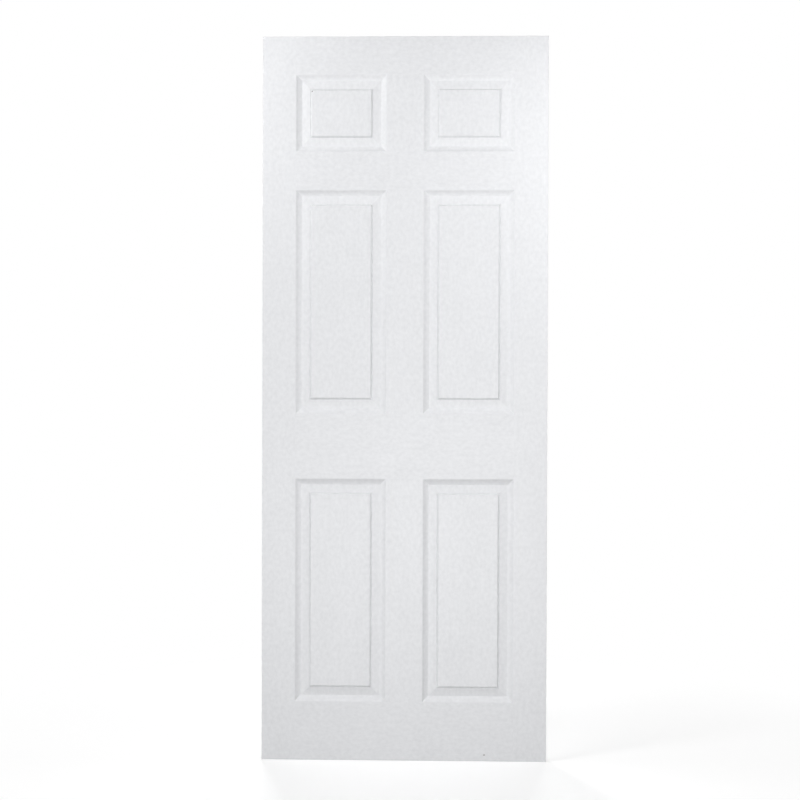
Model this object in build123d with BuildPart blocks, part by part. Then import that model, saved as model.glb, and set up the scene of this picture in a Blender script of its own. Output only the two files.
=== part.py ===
"""Six-panel hollow-core door leaf: two pressed skins glued over a light timber frame.

Millimetres. The origin is on the hinge edge, at its foot and at mid-thickness.
X runs across the leaf to the lock edge, Y from the front face to the back face, Z up.
"""

from build123d import *
import os

os.makedirs("parts", exist_ok=True)

# Leaf
leaf_width = 800
leaf_height = 2032
leaf_thickness = 35
skin_thickness = 3.2
arris = 1.0

# Flat faces left between the panels
stile_face = 93
mullion_face = 103
top_rail_face = 106
frieze_rail_face = 106
lock_rail_face = 182
bottom_rail_face = 165
top_panel_height = 217

# Panel moulding: runs go inwards from a panel's outline, depths go down from the face
round_run = 4.8
round_drop = 2.3
round_sagitta = 0.16
cove_run = 13.2
cove_drop = 5.2
cove_sagitta = 0.71
crease_run = 0.4
bevel_run = 24.2
bevel_rise = 4.3
step_run = 3
step_rise = 2.9
tool_overrun = 1

# Timber between the skins
stile_width = 32
rail_height = 32
lock_block_length = 500
lock_block_setback = 4

# The two tall panel rows share the height that the rails and the top panels leave
panel_width = (leaf_width - 2 * stile_face - mullion_face) / 2
rail_faces = top_rail_face + frieze_rail_face + lock_rail_face + bottom_rail_face
tall_panel_height = (leaf_height - rail_faces - top_panel_height) / 2
lock_rail_foot = bottom_rail_face + tall_panel_height
lock_rail_head = lock_rail_foot + lock_rail_face

# Centre and width of each panel column, centre and height of each panel row
panel_columns = [
    (stile_face + panel_width / 2, panel_width),
    (leaf_width - stile_face - panel_width / 2, panel_width),
]
panel_rows = [
    (bottom_rail_face + tall_panel_height / 2, tall_panel_height),
    (lock_rail_head + tall_panel_height / 2, tall_panel_height),
    (leaf_height - top_rail_face - top_panel_height / 2, top_panel_height),
]

# Section planes on the front face: position along local X, depth into the leaf along local Y
front_face = -leaf_thickness / 2
across_leaf = Plane(origin=(0, front_face, 0), x_dir=(1, 0, 0), z_dir=(0, 0, 1))
up_leaf = Plane(origin=(leaf_width, front_face, 0), x_dir=(0, 0, 1), z_dir=(-1, 0, 0))

ground_depth = round_drop + cove_drop
bevel_head_depth = ground_depth - bevel_rise
field_depth = bevel_head_depth - step_rise
frame_depth = leaf_thickness - 2 * skin_thickness


def sunk_section(span):
    """Section of the hollow pressed into one panel: an ogee of a round and a cove, and flat ground."""
    edge = span / 2
    round_foot = edge - round_run
    cove_foot = round_foot - cove_run
    with BuildSketch() as section:
        with BuildLine():
            Polyline((0, -tool_overrun), (edge, -tool_overrun), (edge, 0))
            SagittaArc((edge, 0), (round_foot, round_drop), round_sagitta)
            SagittaArc((cove_foot, ground_depth), (round_foot, round_drop), cove_sagitta)
            Line((cove_foot, ground_depth), (0, ground_depth))
            mirror(about=Plane.YZ)
        make_face()
    return section.sketch


def raised_section(span):
    """Section of the raised centre of one panel: bevel, step and flat field."""
    bevel_foot = span / 2 - round_run - cove_run - crease_run
    bevel_head = bevel_foot - bevel_run
    field_edge = bevel_head - step_run
    with BuildSketch() as section:
        with BuildLine():
            Polyline(
                (0, ground_depth + tool_overrun),
                (bevel_foot, ground_depth + tool_overrun),
                (bevel_foot, ground_depth),
                (bevel_head, bevel_head_depth),
                (field_edge, field_depth),
                (0, field_depth),
            )
            mirror(about=Plane.YZ)
        make_face()
    return section.sketch


def prisms(plane, length, section, places):
    """One prism of the section for each place along a section plane."""
    with BuildPart() as solids:
        with BuildSketch(plane):
            for centre, span in places:
                with Locations((centre, 0)):
                    add(section(span))
        extrude(amount=length)
    return solids.part


def mitred_panels(section):
    """The section run around every panel, mitred where the upright and level runs cross."""
    with BuildPart() as solids:
        add(prisms(across_leaf, leaf_height, section, panel_columns))
        add(prisms(up_leaf, leaf_width, section, panel_rows), mode=Mode.INTERSECT)
    return solids.part


# Pressed face as a half-leaf solid: hollows cut in, raised fields added
with BuildPart() as pressed_face:
    Box(leaf_width, leaf_thickness / 2, leaf_height, align=(Align.MIN, Align.MAX, Align.MIN))
    add(mitred_panels(sunk_section), mode=Mode.SUBTRACT)
    add(mitred_panels(raised_section))

# Front skin: the layer between the pressed face and the same face one skin thickness deeper
with BuildPart() as front_skin:
    add(pressed_face.part)
    with Locations((0, skin_thickness, 0)):
        add(pressed_face.part, mode=Mode.SUBTRACT)
    outer_face = front_skin.faces().filter_by(Plane.XZ).sort_by(Axis.Y)[0]
    chamfer(outer_face.outer_wire().edges(), arris)
front_skin.part.label = "front_skin"
export_step(front_skin.part, "parts/front_skin.step")

with BuildPart() as back_skin:
    mirror(front_skin.part, about=Plane.XZ)
back_skin.part.label = "back_skin"
export_step(back_skin.part, "parts/back_skin.step")

# Stiles run the full height, and the rails fit between them
with BuildPart() as hinge_stile:
    Box(stile_width, frame_depth, leaf_height, align=(Align.MIN, Align.CENTER, Align.MIN))
hinge_stile.part.label = "hinge_stile"
export_step(hinge_stile.part, "parts/hinge_stile.step")

with BuildPart() as lock_stile:
    with Locations((leaf_width, 0, 0)):
        Box(stile_width, frame_depth, leaf_height, align=(Align.MAX, Align.CENTER, Align.MIN))
lock_stile.part.label = "lock_stile"
export_step(lock_stile.part, "parts/lock_stile.step")

rail_length = leaf_width - 2 * stile_width

with BuildPart() as bottom_rail:
    with Locations((stile_width, 0, 0)):
        Box(rail_length, frame_depth, rail_height, align=(Align.MIN, Align.CENTER, Align.MIN))
bottom_rail.part.label = "bottom_rail"
export_step(bottom_rail.part, "parts/bottom_rail.step")

with BuildPart() as top_rail:
    with Locations((stile_width, 0, leaf_height)):
        Box(rail_length, frame_depth, rail_height, align=(Align.MIN, Align.CENTER, Align.MAX))
top_rail.part.label = "top_rail"
export_step(top_rail.part, "parts/top_rail.step")

# Lock blocks stiffen both edges at the lock rail, behind the flat of the stiles
lock_block_width = stile_face - stile_width - lock_block_setback
lock_block_height = (lock_rail_foot + lock_rail_head) / 2

with BuildPart() as hinge_side_block:
    with Locations((stile_width, 0, lock_block_height)):
        Box(lock_block_width, frame_depth, lock_block_length, align=(Align.MIN, Align.CENTER, Align.CENTER))
hinge_side_block.part.label = "hinge_side_block"
export_step(hinge_side_block.part, "parts/hinge_side_block.step")

with BuildPart() as lock_side_block:
    with Locations((leaf_width - stile_width, 0, lock_block_height)):
        Box(lock_block_width, frame_depth, lock_block_length, align=(Align.MAX, Align.CENTER, Align.CENTER))
lock_side_block.part.label = "lock_side_block"
export_step(lock_side_block.part, "parts/lock_side_block.step")
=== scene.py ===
"""Looks of the six-panel door leaf: primed pressed skins over a softwood frame.

Metres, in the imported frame: X across the leaf, Y from the front face to the back face, Z up.
"""

import math

import bpy
from mathutils import Euler, Matrix, Vector


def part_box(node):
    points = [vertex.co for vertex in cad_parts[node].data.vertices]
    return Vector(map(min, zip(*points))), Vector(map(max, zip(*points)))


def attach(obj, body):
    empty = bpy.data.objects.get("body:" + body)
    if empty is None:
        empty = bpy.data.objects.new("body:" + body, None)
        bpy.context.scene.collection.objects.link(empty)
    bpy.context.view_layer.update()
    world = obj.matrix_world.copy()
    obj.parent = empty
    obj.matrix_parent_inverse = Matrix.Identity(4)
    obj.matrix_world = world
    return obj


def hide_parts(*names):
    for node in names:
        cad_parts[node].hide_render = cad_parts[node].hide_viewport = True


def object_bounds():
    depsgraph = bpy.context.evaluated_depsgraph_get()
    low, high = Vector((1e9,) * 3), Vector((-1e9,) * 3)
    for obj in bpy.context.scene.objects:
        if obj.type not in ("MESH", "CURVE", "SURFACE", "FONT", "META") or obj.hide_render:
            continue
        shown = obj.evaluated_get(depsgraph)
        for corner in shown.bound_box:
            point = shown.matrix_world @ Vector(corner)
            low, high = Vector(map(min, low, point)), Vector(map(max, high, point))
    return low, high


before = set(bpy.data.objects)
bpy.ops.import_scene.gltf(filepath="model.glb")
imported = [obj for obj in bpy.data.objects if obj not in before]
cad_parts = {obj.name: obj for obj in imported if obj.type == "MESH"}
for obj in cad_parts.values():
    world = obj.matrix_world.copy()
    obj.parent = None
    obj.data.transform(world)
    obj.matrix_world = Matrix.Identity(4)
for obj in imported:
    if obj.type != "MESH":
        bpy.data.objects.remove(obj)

cad_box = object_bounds()

# Skin, as in the CAD model, and the ease that leaves a fine joint line against the frame
SKIN_THICKNESS = 0.0032
ARRIS = 0.001
JOINT_EASE = 0.0003

# Panel moulding, a little deeper than the CAD model's: runs go in from a panel's outline, depths go down
ROUND_RUN = 0.0048
ROUND_DROP = 0.0027
ROUND_SAGITTA = 0.0003
COVE_RUN = 0.012
COVE_DROP = 0.0058
COVE_SAGITTA = 0.0005
CREASE_RUN = 0.0004
BEVEL_RUN = 0.0236
BEVEL_RISE = 0.0043
STEP_RUN = 0.0046
STEP_RISE = 0.0039

# Fine groove at the foot of the step: how far it reaches either side, and its depth under the bevel's head
GROOVE_REACH = 0.0014
GROOVE_DEPTH = 0.0014

# Radii that pressing and primer leave on the moulding's corners
RIM_RADIUS = 0.0025
GROOVE_RADIUS = 0.0002
LIP_RADIUS = 0.0004
SHOULDER_RADIUS = 0.001
FIELD_RADIUS = 0.0008
ARC_STEPS = 8
EASE_STEPS = 5

# Cells of the face's grid, from the hinge edge and from the foot
PANEL_COLUMNS = (1, 3)
PANEL_ROWS = (1, 3, 5)
STILE_COLUMNS = (0, 4)
MULLION_COLUMN = 2

# Grain: rails and panels get numbers of their own, and each count shifts the grain along and across
RAIL_NUMBERS = 50
PANEL_NUMBERS = 10
GRAIN_SHIFT = (1.37, 0.53)

# Places on a face that count as one, and the decimals that places and corners are rounded to
SAME_PLACE = 1e-5
PLACE_DIGITS = 5
CORNER_DIGITS = 7


def arc(start, run, drop, sagitta):
    """Points of an arc as (run, depth, downward slope): hollow with sagitta over 0, round with it under."""
    chord = math.hypot(run, drop)
    fall = math.atan2(drop, run)
    half_turn = 2 * math.atan2(2 * sagitta, chord)
    radius = chord / (2 * math.sin(half_turn))
    first = fall + half_turn
    points = []
    for step in range(ARC_STEPS + 1):
        slope = fall + half_turn * (1 - 2 * step / ARC_STEPS)
        along = radius * (math.sin(first) - math.sin(slope))
        down = radius * (math.cos(slope) - math.cos(first))
        points.append((start[0] + along, start[1] + down, slope))
    return points


def eased_corner(run, depth, before, after, radius):
    """Points round a corner between two slopes, as (run, depth, downward slope)."""
    reach = radius * math.tan(abs(after - before) / 2)
    start_run = run - reach * math.cos(before)
    start_depth = depth - reach * math.sin(before)
    sign = math.copysign(radius, after - before)
    points = []
    for step in range(EASE_STEPS + 1):
        slope = before + (after - before) * step / EASE_STEPS
        along = sign * (math.sin(slope) - math.sin(before))
        down = sign * (math.cos(before) - math.cos(slope))
        points.append((start_run + along, start_depth + down, slope))
    return points


def eased_line(points, radii, last_slope):
    """Straight runs through points, each corner after the first rounded, as (run, depth, downward slope)."""
    slopes = [math.atan2(b[1] - a[1], b[0] - a[0]) for a, b in zip(points, points[1:])]
    slopes.append(last_slope)
    eased = []
    for corner, before, after, radius in zip(points[1:], slopes, slopes[1:], radii):
        eased += eased_corner(*corner, before, after, radius)
    return eased


def moulding_profile():
    """The moulding as (run, depth, downward slope) from a panel's outline to its field."""
    rounded = arc((0, 0), ROUND_RUN, ROUND_DROP, -ROUND_SAGITTA)
    cove = arc((ROUND_RUN, ROUND_DROP), COVE_RUN, COVE_DROP, COVE_SAGITTA)
    ground = ROUND_DROP + COVE_DROP
    bevel_foot = ROUND_RUN + COVE_RUN + CREASE_RUN
    bevel_head = bevel_foot + BEVEL_RUN
    bevel_fall = BEVEL_RISE / BEVEL_RUN
    step_fall = STEP_RISE / STEP_RUN
    head_depth = ground - BEVEL_RISE
    raised = (
        (bevel_foot, ground),
        (bevel_head - GROOVE_REACH, head_depth + GROOVE_REACH * bevel_fall),
        (bevel_head, head_depth + GROOVE_DEPTH),
        (bevel_head + GROOVE_REACH, head_depth - GROOVE_REACH * step_fall),
        (bevel_head + STEP_RUN, head_depth - STEP_RISE),
    )
    profile = eased_corner(0, 0, 0, rounded[0][2], RIM_RADIUS)
    profile += rounded[1:] + cove[1:]
    profile.append((bevel_foot, ground, -math.atan(bevel_fall)))
    profile += eased_line(raised, (LIP_RADIUS, GROOVE_RADIUS, SHOULDER_RADIUS, FIELD_RADIUS), 0)
    return profile


def face_lines(node, face_y):
    """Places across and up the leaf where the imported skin's flat face has corners, without its outline."""
    on_face = [v.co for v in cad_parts[node].data.vertices if abs(v.co.y - face_y) < SAME_PLACE]
    across = sorted({round(co.x, PLACE_DIGITS) for co in on_face})
    up = sorted({round(co.z, PLACE_DIGITS) for co in on_face})
    return across[1:-1], up[1:-1]


def grain_place(point, upright, member):
    """Grain coordinate of a point: along the grain, then across it, set apart for each member."""
    along, across = (point.z, point.x) if upright else (point.x, point.z)
    return (along + GRAIN_SHIFT[0] * member, across + GRAIN_SHIFT[1] * member)


class Sheet:
    """Collects quads that share corners, with a normal and a grain coordinate at each corner."""

    def __init__(self):
        self.corners = {}
        self.faces = []
        self.normals = []
        self.grain = []

    def corner(self, point):
        """Number of the corner at a point, shared with the faces that meet there."""
        key = tuple(round(value, CORNER_DIGITS) for value in point)
        return self.corners.setdefault(key, len(self.corners))

    def quad(self, points, normals, upright, member):
        """Adds one face, wound so that it faces the way its normals point."""
        across = (points[1] - points[0]).cross(points[3] - points[0])
        order = (0, 1, 2, 3) if across.dot(sum(normals, Vector())) > 0 else (3, 2, 1, 0)
        self.faces.append([self.corner(points[i]) for i in order])
        self.normals.extend(normals[i] for i in order)
        self.grain.extend(grain_place(points[i], upright, member) for i in order)

    def build(self, name):
        """The sheet as a mesh object, smooth by its own normals."""
        mesh = bpy.data.meshes.new(name)
        mesh.from_pydata(list(self.corners), [], self.faces)
        layer = mesh.uv_layers.new(name="grain")
        for loop, place in zip(layer.data, self.grain):
            loop.uv = place
        mesh.shade_smooth()
        mesh.normals_split_custom_set(self.normals)
        mesh.validate()
        piece = bpy.data.objects.new(name, mesh)
        bpy.context.scene.collection.objects.link(piece)
        return piece


class PressedSkin(Sheet):
    """A skin as a closed sheet: the pressed face, the same form one thickness deeper, and the rim between."""

    def __init__(self, node, side):
        super().__init__()
        low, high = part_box(node)
        self.side = side
        self.face_y = low.y if side < 0 else high.y
        self.outward = Vector((0, side, 0))
        self.profile = moulding_profile()
        self.ease = -self.profile[0][0]
        inner_x, inner_z = face_lines(node, self.face_y)
        self.xs = [low.x, *self.widened(inner_x), high.x]
        self.zs = [low.z, *self.widened(inner_z), high.z]
        self.layer(0, ARRIS, 1)
        self.layer(SKIN_THICKNESS, JOINT_EASE, -1)
        self.rim()

    def widened(self, lines):
        """Panel outlines in pairs, moved out to where the rounding of the rim begins."""
        return [line + (self.ease if index % 2 else -self.ease) for index, line in enumerate(lines)]

    def place(self, x, z, depth):
        """A point at a depth under the face."""
        return Vector((x, self.face_y - self.side * depth, z))

    def ring(self, x0, x1, z0, z1, inset, depth):
        """Corners of a rectangle drawn in by inset, at one depth."""
        left, right = x0 + inset, x1 - inset
        foot, head = z0 + inset, z1 - inset
        outline = ((left, foot), (right, foot), (right, head), (left, head))
        return [self.place(x, z, depth) for x, z in outline]

    def layer(self, depth, inset, facing):
        """One face of the sheet, lowered by depth and drawn in from the leaf's outline by inset."""
        columns = [self.xs[0] + inset, *self.xs[1:-1], self.xs[-1] - inset]
        rows = [self.zs[0] + inset, *self.zs[1:-1], self.zs[-1] - inset]
        for column, (x0, x1) in enumerate(zip(columns, columns[1:])):
            for row, (z0, z1) in enumerate(zip(rows, rows[1:])):
                if column in PANEL_COLUMNS and row in PANEL_ROWS:
                    self.panel(x0, x1, z0, z1, depth, facing, PANEL_NUMBERS * column + row)
                    continue
                mullion = column == MULLION_COLUMN and row in PANEL_ROWS
                upright = column in STILE_COLUMNS or mullion
                member = column if upright else RAIL_NUMBERS + row
                self.quad(self.ring(x0, x1, z0, z1, 0, depth), [facing * self.outward] * 4, upright, member)

    def panel(self, x0, x1, z0, z1, depth, facing, member):
        """The moulding round one panel, mitred at its corners, and the panel's field."""
        inward = (Vector((0, 0, 1)), Vector((-1, 0, 0)), Vector((0, 0, -1)), Vector((1, 0, 0)))
        sticking_end = ROUND_RUN + COVE_RUN
        rings = []
        for run, drop, slope in self.profile:
            rings.append((self.ring(x0, x1, z0, z1, run + self.ease, depth + drop), slope, run))
        for (outer, outer_slope, run), (inner, inner_slope, _) in zip(rings, rings[1:]):
            for edge, direction in enumerate(inward):
                following = (edge + 1) % 4
                corners = [outer[edge], outer[following], inner[following], inner[edge]]
                slopes = [outer_slope, outer_slope, inner_slope, inner_slope]
                normals = [facing * (self.outward * math.cos(s) + direction * math.sin(s)) for s in slopes]
                upright = run >= sticking_end or direction.x != 0
                self.quad(corners, normals, upright, member)
        self.quad(rings[-1][0], [facing * self.outward] * 4, True, member)

    def rim(self):
        """The eased outer edge, down to the joint with the frame."""
        steps = []
        for step in range(EASE_STEPS + 1):
            turn = math.pi / 2 * step / EASE_STEPS
            steps.append((ARRIS * (1 - math.sin(turn)), ARRIS * (1 - math.cos(turn)), turn))
        steps.append((0, SKIN_THICKNESS - JOINT_EASE, math.pi / 2))
        steps.append((JOINT_EASE, SKIN_THICKNESS, math.pi / 2))
        xs, zs = self.xs, self.zs
        outline = [(x, zs[0]) for x in xs[:-1]] + [(xs[-1], z) for z in zs[:-1]]
        outline += [(x, zs[-1]) for x in xs[:0:-1]] + [(xs[0], z) for z in zs[:0:-1]]
        for start, end in zip(outline, outline[1:] + outline[:1]):
            upright = start[0] == end[0]
            if upright:
                direction = Vector((1 if start[0] == xs[-1] else -1, 0, 0))
            else:
                direction = Vector((0, 0, 1 if start[1] == zs[-1] else -1))
            for (inset_a, depth_a, turn_a), (inset_b, depth_b, turn_b) in zip(steps, steps[1:]):
                corners = [
                    self.rim_point(start, inset_a, depth_a),
                    self.rim_point(end, inset_a, depth_a),
                    self.rim_point(end, inset_b, depth_b),
                    self.rim_point(start, inset_b, depth_b),
                ]
                turns = (turn_a, turn_a, turn_b, turn_b)
                normals = [self.outward * math.cos(t) + direction * math.sin(t) for t in turns]
                self.quad(corners, normals, upright, 0)

    def rim_point(self, point, inset, depth):
        """A point of the leaf's outline, drawn in by inset and lowered by depth."""
        x, z = point
        x += inset * ((x == self.xs[0]) - (x == self.xs[-1]))
        z += inset * ((z == self.zs[0]) - (z == self.zs[-1]))
        return self.place(x, z, depth)


class Nodes:
    """Short names for building a node tree."""

    def __init__(self, tree):
        self.tree = tree
        self.tree.nodes.clear()

    def add(self, kind, links=None, **settings):
        node = self.tree.nodes.new(kind)
        for key, value in settings.items():
            setattr(node, key, value)
        for socket, source in (links or {}).items():
            if isinstance(source, bpy.types.NodeSocket):
                self.tree.links.new(source, node.inputs[socket])
            else:
                node.inputs[socket].default_value = source
        return node

    def math(self, operation, a, b=0.0):
        return self.add("ShaderNodeMath", {0: a, 1: b}, operation=operation).outputs[0]

    def noise(self, vector, scale, detail=2.0, roughness=0.5):
        links = {"Vector": vector, "Scale": scale, "Detail": detail, "Roughness": roughness}
        return self.add("ShaderNodeTexNoise", links).outputs["Fac"]

    def remap(self, value, low, high, to_low=0.0, to_high=1.0):
        links = {"Value": value, "From Min": low, "From Max": high, "To Min": to_low, "To Max": to_high}
        return self.add("ShaderNodeMapRange", links).outputs["Result"]

    def mix(self, factor, a, b):
        return self.add("ShaderNodeMix", {0: factor, 6: a, 7: b}, data_type="RGBA").outputs[2]

    def vector(self, x, y, z=0.0):
        return self.add("ShaderNodeCombineXYZ", {0: x, 1: y, 2: z}).outputs[0]

    def parts(self, vector):
        return self.add("ShaderNodeSeparateXYZ", {0: vector}).outputs

    def stretched(self, parts, scales):
        """A vector with each part multiplied by its own scale."""
        return self.vector(*(self.math("MULTIPLY", part, scale) for part, scale in zip(parts, scales)))

    def blend(self, factor, a, b):
        return self.add("ShaderNodeMixShader", {0: factor, 1: a, 2: b}).outputs[0]

    def seen(self):
        """1 for the rays by which the camera, gloss and glass see a surface, 0 for the light it sends on."""
        path = self.add("ShaderNodeLightPath").outputs
        gloss_or_glass = self.math("MAXIMUM", path["Is Glossy Ray"], path["Is Transmission Ray"])
        return self.math("MAXIMUM", path["Is Camera Ray"], gloss_or_glass)


MILLIMETRE = 0.001


def new_material(name):
    """A material, and the short names for its node tree."""
    material = bpy.data.materials.new(name)
    material.use_nodes = True
    return material, Nodes(material.node_tree)


def surface(m, colour, roughness, relief, bump_strength):
    """A plain surface with relief given in millimetres."""
    bump_links = {"Strength": bump_strength, "Distance": MILLIMETRE, "Height": relief}
    bump = m.add("ShaderNodeBump", bump_links).outputs[0]
    links = {"Base Color": colour, "Roughness": roughness, "Normal": bump}
    shader = m.add("ShaderNodeBsdfPrincipled", links).outputs[0]
    m.add("ShaderNodeOutputMaterial", {"Surface": shader})


# Primer, and the shades that it takes where it lies thin or in the grain
PRIMER = (0.815, 0.822, 0.840, 1)
PRIMER_SHADE = (0.740, 0.747, 0.765, 1)
# Dark colour of the small marks below; the second mark lies at the upper corner of the top-left panel's
# raised field
MARK_DARK_TONE = (0.15, 0.135, 0.12, 1)
FIBREBOARD = (0.32, 0.20, 0.10, 1)
FIBREBOARD_LIGHT = (0.42, 0.28, 0.15, 1)

# Small marks on the front: place across and up the leaf, half width and half height
MARKS = (
    (0.6263, 0.0184, 0.0024, 0.0014),
    (0.1384, 1.8785, 0.0014, 0.0020),
)
MARK_GRAIN = 900.0
MARK_RAGGED = 0.35
MARK_EDGES = (0.8, 1.2)

# Middle stretch of a noise pattern, which is spread over the wanted range
NOISE_RANGE = (0.3, 0.7)
MOTTLE_RANGE = (0.25, 0.75)

# Patterns of the skin: how often each repeats in a metre, along and across the grain or all ways
MEANDER_SCALES = (4.0, 9.0)
PORE_SCALES = (22.0, 850.0)
PATCH_SCALES = (1.4, 26.0)
MOTTLE_SCALES = (80.0, 100.0)
PEEL_SCALE = 700.0
SWELL_SCALE = 5.0
CLOUD_SCALE = 18.0
SHEEN_SCALE = 60.0
BOARD_FIBRE_SCALES = (60.0, 900.0, 60.0)

# How far the grain meanders in metres, and where pores and patches begin and end in their patterns
MEANDER_REACH = 0.012
PORE_EDGES = (0.53, 0.66)
PATCH_EDGES = (0.38, 0.62)
PATCH_LEAST = 0.2

# Relief of the skin, in millimetres
PORE_DEPTH = 0.10
MOTTLE_HEIGHT = 0.05
PEEL_HEIGHT = 0.018
SWELL_HEIGHT = 0.25

# Shares of the darker primer, the skin's roughness, and how level a cut edge is
MOTTLE_SHADE = 0.8
CLOUD_SHADE = 0.2
PORE_SHADE = 0.2
SKIN_ROUGHNESS = (0.44, 0.54)
CUT_EDGE_LEVEL = 0.97


def mark_share(m, position):
    """1 inside the small marks on the front face, 0 elsewhere, with ragged outlines."""
    x, y, z = m.parts(position)
    ragged = m.remap(m.noise(position, MARK_GRAIN), *NOISE_RANGE, -MARK_RAGGED, MARK_RAGGED)
    shares = []
    for place_x, place_z, half_width, half_height in MARKS:
        aside = m.math("DIVIDE", m.math("SUBTRACT", x, place_x), half_width)
        above = m.math("DIVIDE", m.math("SUBTRACT", z, place_z), half_height)
        squares = m.math("ADD", m.math("MULTIPLY", aside, aside), m.math("MULTIPLY", above, above))
        distance = m.math("ADD", m.math("SQRT", squares), ragged)
        shares.append(m.remap(distance, *MARK_EDGES, 1.0, 0.0))
    return m.math("MULTIPLY", m.math("ADD", *shares), m.math("LESS_THAN", y, 0.0))


def primed_skin_material():
    """White primer over an embossed grain that follows each member, with bare fibreboard at foot and top."""
    material, m = new_material("primed_skin")
    along, across, _ = m.parts(m.add("ShaderNodeUVMap", uv_map="grain").outputs[0])
    position = m.add("ShaderNodeTexCoord").outputs["Object"]

    meander = m.noise(m.stretched((along, across), MEANDER_SCALES), 1.0)
    wavy = m.math("ADD", across, m.math("MULTIPLY", meander, MEANDER_REACH))
    pore_noise = m.noise(m.stretched((along, wavy), PORE_SCALES), 1.0, detail=3.0, roughness=0.55)
    pores = m.remap(pore_noise, *PORE_EDGES)
    patch_noise = m.noise(m.stretched((along, wavy), PATCH_SCALES), 1.0)
    patches = m.remap(patch_noise, *PATCH_EDGES, PATCH_LEAST, 1.0)
    ticks = m.math("MULTIPLY", pores, patches)
    mottle = m.noise(m.stretched((along, wavy), MOTTLE_SCALES), 1.0, detail=1.0)
    peel = m.noise(position, PEEL_SCALE)
    swell = m.noise(position, SWELL_SCALE, detail=1.0)

    relief = m.math("MULTIPLY", ticks, -PORE_DEPTH)
    for height, share in ((mottle, MOTTLE_HEIGHT), (peel, PEEL_HEIGHT), (swell, SWELL_HEIGHT)):
        relief = m.math("ADD", relief, m.math("MULTIPLY", height, share))

    shade = m.remap(mottle, *MOTTLE_RANGE, 0.0, MOTTLE_SHADE)
    clouds = m.remap(m.noise(position, CLOUD_SCALE), *NOISE_RANGE, 0.0, CLOUD_SHADE)
    shade = m.math("ADD", shade, clouds)
    shade = m.math("ADD", shade, m.math("MULTIPLY", ticks, PORE_SHADE))
    primer = m.mix(shade, PRIMER, PRIMER_SHADE)
    primer = m.mix(mark_share(m, position), primer, MARK_DARK_TONE)
    fibres = m.noise(m.stretched(m.parts(position), BOARD_FIBRE_SCALES), 1.0, detail=3.0)
    fibreboard = m.mix(fibres, FIBREBOARD, FIBREBOARD_LIGHT)
    level = m.math("ABSOLUTE", m.parts(m.add("ShaderNodeNewGeometry").outputs["True Normal"])[2])
    cut_edge = m.math("GREATER_THAN", level, CUT_EDGE_LEVEL)
    colour = m.mix(cut_edge, primer, fibreboard)
    sheen = m.noise(position, SHEEN_SCALE, detail=3.0)
    roughness = m.remap(sheen, *NOISE_RANGE, *SKIN_ROUGHNESS)
    surface(m, colour, roughness, relief, 1.0)
    return material


# Softwood, and the primer on the stiles' long edges
EARLY_WOOD = (0.66, 0.47, 0.27, 1)
LATE_WOOD = (0.47, 0.27, 0.11, 1)
PALE_FIBRE = (0.72, 0.56, 0.36, 1)
EDGE_PRIMER = (0.79, 0.795, 0.80, 1)
THIN_PRIMER = (0.70, 0.64, 0.55, 1)

# Rings and fibres of softwood, in a metre: rings slant and bend, and the late wood ends each of them
RINGS = 330.0
RING_SLANT = 0.35
RING_BEND = 9.0
BEND_SCALE = 30.0
BEND_SCALE_ALONG = 1.2
LATE_WOOD_EDGES = (0.45, 0.95)
FIBRE_SCALE = 600.0
FIBRE_SCALE_ALONG = 14.0
PALE_SHARE = 0.5

# Where primer lies thin on fibres, how square to the grain an end is, roughness, relief in millimetres
THIN_EDGES = (0.5, 0.75)
THIN_SHARE = 0.16
END_GRAIN = 0.7
BARE_ROUGHNESS = 0.72
PRIMED_ROUGHNESS = 0.58
END_ROUGHNESS = 0.8
FIBRE_HEIGHT = 0.08
RING_HEIGHT = 0.05
TIMBER_BUMP = 0.6


def timber_material(name, grain_axis, primed):
    """Softwood with rings along grain_axis; where primed, white on the faces that aren't end grain."""
    material, m = new_material(name)
    position = m.parts(m.add("ShaderNodeTexCoord").outputs["Object"])
    bend_scales = [BEND_SCALE] * 3
    bend_scales[grain_axis] = BEND_SCALE_ALONG
    bend = m.noise(m.stretched(position, bend_scales), 1.0)
    side_a, side_b = (position[i] for i in range(3) if i != grain_axis)
    ring_place = m.math("ADD", side_a, m.math("MULTIPLY", side_b, RING_SLANT))
    ring_place = m.math("ADD", m.math("MULTIPLY", ring_place, RINGS), m.math("MULTIPLY", bend, RING_BEND))
    late = m.remap(m.math("FRACT", ring_place), *LATE_WOOD_EDGES)
    fibre_scales = [FIBRE_SCALE] * 3
    fibre_scales[grain_axis] = FIBRE_SCALE_ALONG
    fibres = m.noise(m.stretched(position, fibre_scales), 1.0, detail=3.0)
    colour = m.mix(late, EARLY_WOOD, LATE_WOOD)
    colour = m.mix(m.math("MULTIPLY", fibres, PALE_SHARE), colour, PALE_FIBRE)
    roughness = BARE_ROUGHNESS
    if primed:
        normal = m.parts(m.add("ShaderNodeNewGeometry").outputs["Normal"])
        end_grain = m.math("GREATER_THAN", m.math("ABSOLUTE", normal[grain_axis]), END_GRAIN)
        primer = m.mix(m.remap(fibres, *THIN_EDGES, 0.0, THIN_SHARE), EDGE_PRIMER, THIN_PRIMER)
        colour = m.mix(end_grain, primer, colour)
        roughness = m.remap(end_grain, 0.0, 1.0, PRIMED_ROUGHNESS, END_ROUGHNESS)
    fibre_relief = m.math("MULTIPLY", fibres, FIBRE_HEIGHT)
    relief = m.math("ADD", fibre_relief, m.math("MULTIPLY", late, RING_HEIGHT))
    surface(m, colour, roughness, relief, TIMBER_BUMP)
    return material


def dress_node(node, material):
    """Gives a CAD node that stays in view its material."""
    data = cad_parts[node].data
    data.materials.clear()
    data.materials.append(material)


skin_material = primed_skin_material()
for name, node, side in (("front_face", "front_skin", -1), ("back_face", "back_skin", 1)):
    skin = PressedSkin(node, side).build(name)
    skin.data.materials.append(skin_material)
    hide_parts(node)
    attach(skin, "root")

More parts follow.
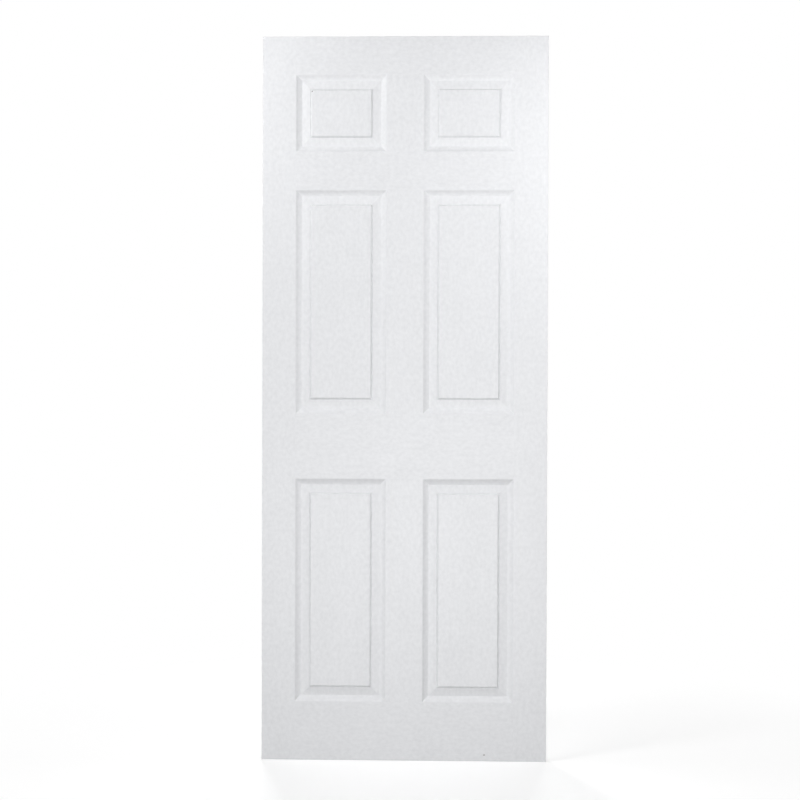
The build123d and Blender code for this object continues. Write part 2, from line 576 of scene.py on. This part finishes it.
X_AXIS, Z_AXIS = 0, 2
primed_stile = timber_material("primed_timber", Z_AXIS, True)
bare_rail = timber_material("bare_timber", X_AXIS, False)
block_board = timber_material("block_board", Z_AXIS, False)
for node in ("hinge_stile", "lock_stile"):
    dress_node(node, primed_stile)
for node in ("top_rail", "bottom_rail"):
    dress_node(node, bare_rail)
for node in ("hinge_side_block", "lock_side_block"):
    dress_node(node, block_board)

WHITE = (1, 1, 1, 1)
AMBIENT = 0.1


def studio_world():
    """Even light from all round, with a white background."""
    world = bpy.data.worlds.new("studio")
    world.use_nodes = True
    m = Nodes(world.node_tree)
    light = m.add("ShaderNodeBackground", {"Color": WHITE, "Strength": AMBIENT}).outputs[0]
    white = m.add("ShaderNodeBackground", {"Color": WHITE, "Strength": 1.0}).outputs[0]
    m.add("ShaderNodeOutputWorld", {"Surface": m.blend(m.seen(), light, white)})
    bpy.context.scene.world = world


# Floor: the camera sees it white, with a soft shadow close to the leaf, and it sends little light up
FLOOR_REACH = 30.0
FLOOR_PAINT = (0.08, 0.08, 0.08, 1)
FLOOR_LEVEL = 0.68
SHADOW_SHARE = 0.8
SHADOW_NEAR = 0.7
SHADOW_FAR = 1.6


def studio_floor():
    """A white floor that keeps a soft shadow of the leaf."""
    mesh = bpy.data.meshes.new("floor")
    r = FLOOR_REACH
    mesh.from_pydata([(-r, -r, 0), (r, -r, 0), (r, r, 0), (-r, r, 0)], [], [(0, 1, 2, 3)])
    floor = bpy.data.objects.new("floor", mesh)
    bpy.context.scene.collection.objects.link(floor)
    material, m = new_material("floor")
    x, y, _ = m.parts(m.add("ShaderNodeTexCoord").outputs["Object"])
    middle = (cad_box[0] + cad_box[1]) / 2
    aside = m.math("SUBTRACT", x, middle.x)
    distance = m.math("SQRT", m.math("ADD", m.math("MULTIPLY", aside, aside), m.math("MULTIPLY", y, y)))
    share = m.remap(distance, SHADOW_NEAR, SHADOW_FAR, SHADOW_SHARE, 0.0)
    paint = m.add("ShaderNodeBsdfDiffuse", {"Color": FLOOR_PAINT}).outputs[0]
    shadowed = m.add("ShaderNodeBsdfDiffuse", {"Color": share}).outputs[0]
    glow_level = m.math("SUBTRACT", 1.0, m.math("MULTIPLY", share, FLOOR_LEVEL))
    glow = m.add("ShaderNodeEmission", {"Color": WHITE, "Strength": glow_level}).outputs[0]
    pale = m.add("ShaderNodeAddShader", {0: shadowed, 1: glow}).outputs[0]
    m.add("ShaderNodeOutputMaterial", {"Surface": m.blend(m.seen(), paint, pale)})
    mesh.materials.append(material)


# Lights: name, place, side and watts. The two at the back light the back, and the others the front
LIGHT_AIM = (0.4, 0, 1.1)
SOFTBOXES = (
    ("low_left", (-3.0, -2.6, 0.15), 0.25, 32.2),
    ("low_front", (0.4, -2.6, 0.3), 0.5, 33.6),
    ("high_left", (-2.0, -1.6, 3.0), 0.7, 19.2),
    ("low_right", (2.1, -1.6, 0.4), 0.7, 7.2),
    ("near_right", (1.2, -0.6, 1.8), 0.7, 3.55),
    ("near_left", (-0.4, -0.6, 2.3), 0.7, 3.5),
    ("upper_front", (0.8, -1.0, 2.3), 0.7, 1.6),
    ("side_left", (-0.4, -0.2, 1.8), 0.3, 0.57),
    ("back_right", (1.5, 4.8, 1.2), 0.9, 128.0),
    ("back_left", (-0.7, 3.8, 3.0), 0.9, 76.0),
)


def softbox(name, place, size, power):
    """A square area light at place, turned towards the leaf."""
    lamp = bpy.data.lights.new(name, "AREA")
    lamp.shape = "SQUARE"
    lamp.size = size
    lamp.energy = power
    holder = bpy.data.objects.new(name, lamp)
    holder.location = place
    holder.rotation_euler = (Vector(LIGHT_AIM) - Vector(place)).to_track_quat("-Z", "Y").to_euler()
    holder.visible_camera = False
    bpy.context.scene.collection.objects.link(holder)


# The photograph's camera, fitted to the leaf's corners: place, angles in degrees, lens in millimetres
CAMERA_PLACE = (0.4913, -4.0154, 1.0540)
CAMERA_YAW = 1.489
CAMERA_PITCH = -0.570
CAMERA_ROLL = -0.174
CAMERA_LENS = 64.17


def photo_camera():
    """The photograph's camera, at its place and angles."""
    data = bpy.data.cameras.new("photo_camera")
    data.lens = CAMERA_LENS
    camera = bpy.data.objects.new("photo_camera", data)
    yaw, pitch, roll = (math.radians(angle) for angle in (CAMERA_YAW, CAMERA_PITCH, CAMERA_ROLL))
    turn = Matrix.Rotation(yaw, 4, "Z") @ Matrix.Rotation(pitch, 4, "X") @ Matrix.Rotation(roll, 4, "Y")
    level = Euler((math.pi / 2, 0, 0)).to_matrix().to_4x4()
    camera.matrix_world = Matrix.Translation(CAMERA_PLACE) @ turn @ level
    bpy.context.scene.collection.objects.link(camera)
    bpy.context.scene.camera = camera


studio_world()
studio_floor()
for settings in SOFTBOXES:
    softbox(*settings)
photo_camera()
bpy.context.scene.view_settings.view_transform = "Standard"
